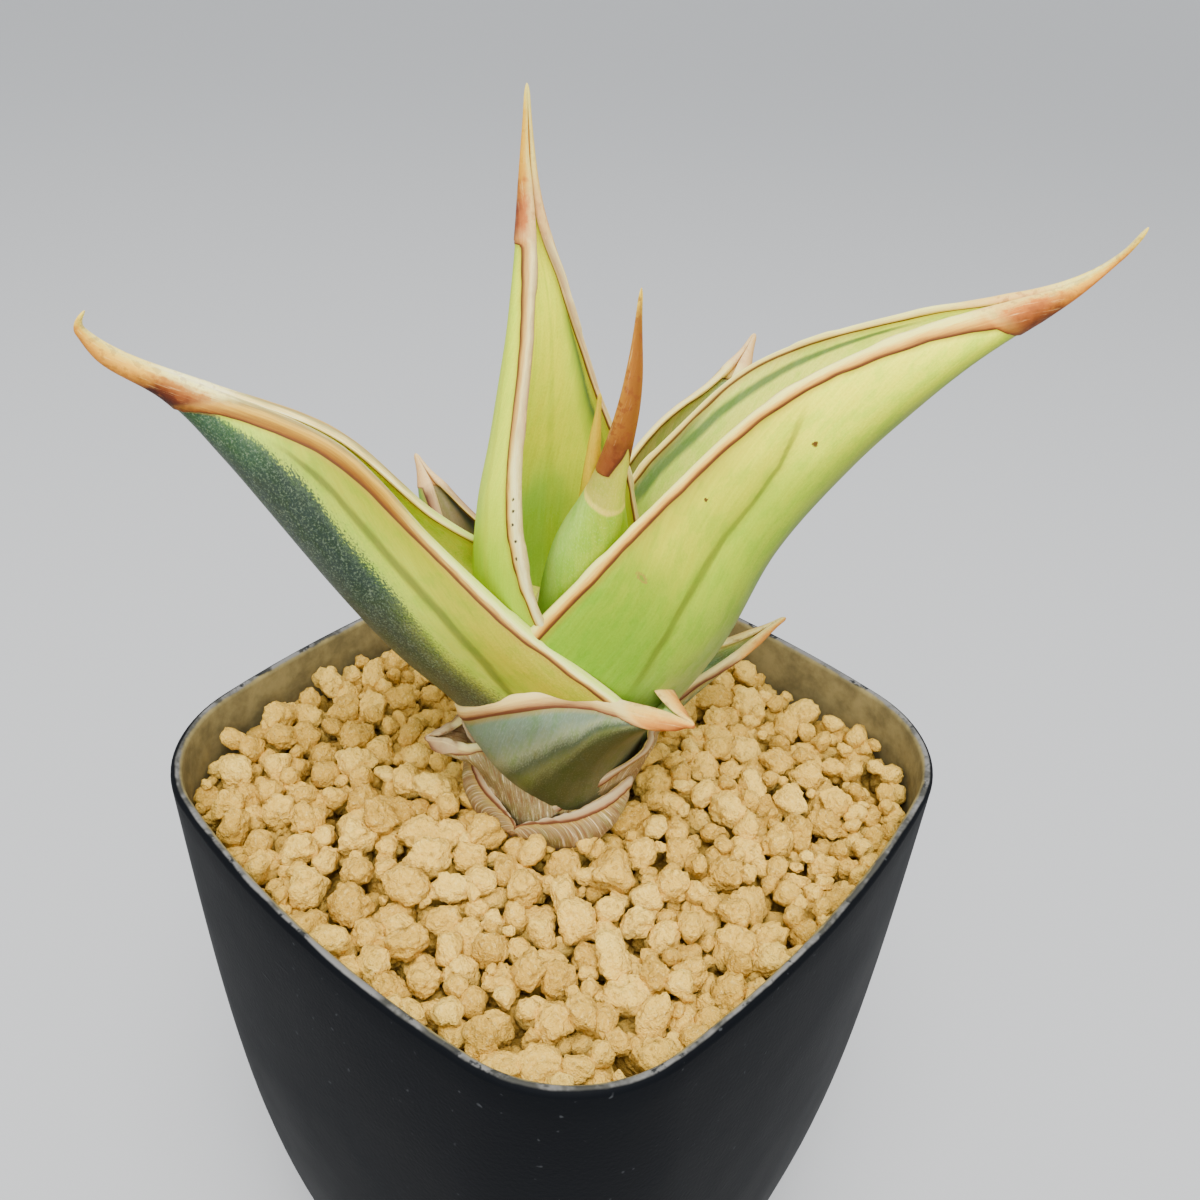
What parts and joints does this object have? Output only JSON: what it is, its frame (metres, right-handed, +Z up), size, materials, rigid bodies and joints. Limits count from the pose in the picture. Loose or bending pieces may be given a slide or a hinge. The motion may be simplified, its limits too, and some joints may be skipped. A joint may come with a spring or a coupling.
{
  "type": "potted snake plant",
  "caption": "Small variegated succulent with thick channelled leaves ending in horn tips, rooted in clay granules in a tall pot of rounded square section.",
  "frame": {"origin": "centre of the flat underside of the pot", "axes": "+Z up along the pot's axis; X and Y run square to the pot's sides; the camera of the picture looks from +X -Y and above"},
  "size_m": [0.0898, 0.0898, 0.1878],
  "materials": {
    "pot": "blue-black moulded plastic with a soft sheen, dusty on the inner wall",
    "soil": "dry matte ochre clay granules",
    "rootstock": "dull fibrous root crown, buried",
    "leaf_heart": "waxy yellow-orange young leaf",
    "leaf_young": "waxy green leaf with a red-brown horn",
    "leaf_tall": "waxy green leaf striped with yellow, cream horny margins",
    "leaf_big_right": "waxy pale yellow-green leaf with tan horny margins",
    "leaf_big_left": "waxy lime leaf with a blue-green speckled keel and tan horny margins",
    "leaf_back_right": "waxy blue-green channel with pinkish tan margins",
    "leaf_back_left": "waxy green leaf with pinkish tan margins",
    "leaf_low_right": "waxy grey-green leaf with pinkish tan margins",
    "leaf_low_front": "waxy blue-green leaf with darker stripes and a curling tan margin",
    "leaf_low_left": "papery cream leaf base with red-brown edges",
    "sheath_dry": "papery dry sheath",
    "sheath_scale": "papery dry scale"
  },
  "bodies": {
    "root": {"pot": "pot", "soil": "soil", "rootstock": "rootstock", "leaf_heart": "leaf_heart", "leaf_young": "leaf_young", "leaf_tall": "leaf_tall", "leaf_big_right": "leaf_big_right", "leaf_big_left": "leaf_big_left", "leaf_back_right": "leaf_back_right", "leaf_back_left": "leaf_back_left", "leaf_low_right": "leaf_low_right", "leaf_low_front": "leaf_low_front", "leaf_low_left": "leaf_low_left", "sheath_dry": "sheath_dry", "sheath_scale": "sheath_scale"}
  },
  "joints": []
}
